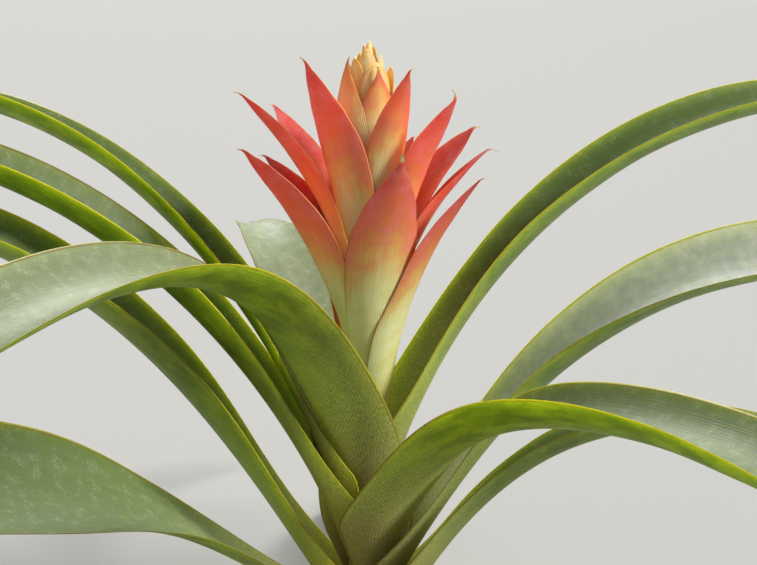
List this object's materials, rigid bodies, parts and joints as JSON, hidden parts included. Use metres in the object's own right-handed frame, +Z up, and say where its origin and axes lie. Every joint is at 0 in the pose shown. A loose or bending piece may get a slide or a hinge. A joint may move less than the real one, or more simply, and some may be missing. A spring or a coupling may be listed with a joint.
{
  "type": "pitcairnia plant",
  "caption": "Bromeliad house plant in flower: a rosette of arching strap leaves round a short stem, and an upright stalk clasped by pointed red bracts with a cone of yellow bud scales on top.",
  "frame": {"origin": "on the floor, under the middle of the leaves' spread", "axes": "+Z up along the stem and flower stalk, +X to the right of the flower's face and along the widest spread, -Y towards someone who faces the flower"},
  "size_m": [0.7193, 0.6206, 0.301],
  "materials": {
    "leaf": "waxy satin green, ribbed along its length, pale scurf on the upper face",
    "bract": "waxy satin, coral red at the tip through orange to ribbed cream at the base",
    "bud_scale": "waxy satin cream yellow with orange edges",
    "stem": "dull pale yellow-green, fibrous where cut"
  },
  "bodies": {
    "root": {"leaf_01": "leaf", "leaf_02": "leaf", "leaf_03": "leaf", "leaf_04": "leaf", "leaf_05": "leaf", "leaf_06": "leaf", "leaf_07": "leaf", "leaf_08": "leaf", "leaf_09": "leaf", "leaf_10": "leaf", "leaf_11": "leaf", "leaf_12": "leaf", "leaf_13": "leaf", "leaf_14": "leaf", "leaf_15": "leaf", "leaf_16": "leaf", "bract_01": "bract", "bract_02": "bract", "bract_03": "bract", "bract_04": "bract", "bract_05": "bract", "bract_06": "bract", "bract_07": "bract", "bract_08": "bract", "bract_09": "bract", "bract_10": "bract", "bract_11": "bract", "bract_12": "bract", "bract_13": "bract", "bract_14": "bract", "bract_15": "bract", "bract_16": "bract", "bract_17": "bract", "bract_18": "bract", "bud_scale_01": "bud_scale", "bud_scale_02": "bud_scale", "bud_scale_03": "bud_scale", "bud_scale_04": "bud_scale", "bud_scale_05": "bud_scale", "bud_scale_06": "bud_scale", "bud_scale_07": "bud_scale", "bud_scale_08": "bud_scale", "bud_scale_09": "bud_scale", "bud_scale_10": "bud_scale", "bud_scale_11": "bud_scale", "flower_stalk": "stem", "stem": "stem"}
  },
  "joints": []
}
